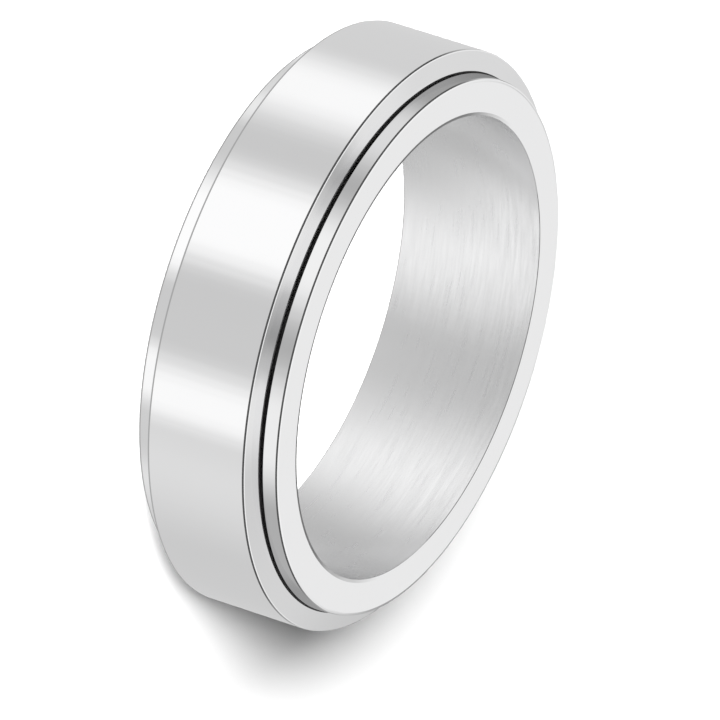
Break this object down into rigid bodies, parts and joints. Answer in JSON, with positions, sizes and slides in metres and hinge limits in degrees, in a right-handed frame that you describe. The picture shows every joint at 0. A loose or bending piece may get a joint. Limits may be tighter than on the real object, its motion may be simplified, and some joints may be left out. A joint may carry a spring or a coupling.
{
  "type": "spinner ring",
  "caption": "Finger ring with a flat outer band that turns freely in the channel between the rims of its inner ring.",
  "frame": {"origin": "on the finger hole's axis, in the plane of the lower rim's end face, on which the ring lies", "axes": "+Z along the finger hole's axis, upwards as the ring lies on its side; +X and +Y are any two square directions across it"},
  "size_m": [0.0228, 0.0228, 0.006],
  "materials": {
    "polished_steel_inner": "polished rims and end faces, fine circumferential brushing in the bore",
    "polished_steel_band": "mirror-polished outer face and bevelled sides"
  },
  "bodies": {
    "inner_ring": {"base_ring": "polished_steel_inner"},
    "outer_band": {"spinner_band": "polished_steel_band"}
  },
  "joints": [
    {"name": "band_spin", "type": "hinge", "parent": "inner_ring", "child": "outer_band", "pos_m": [0, 0, 0.003], "axis": [0, 0, 1], "continuous": true}
  ]
}
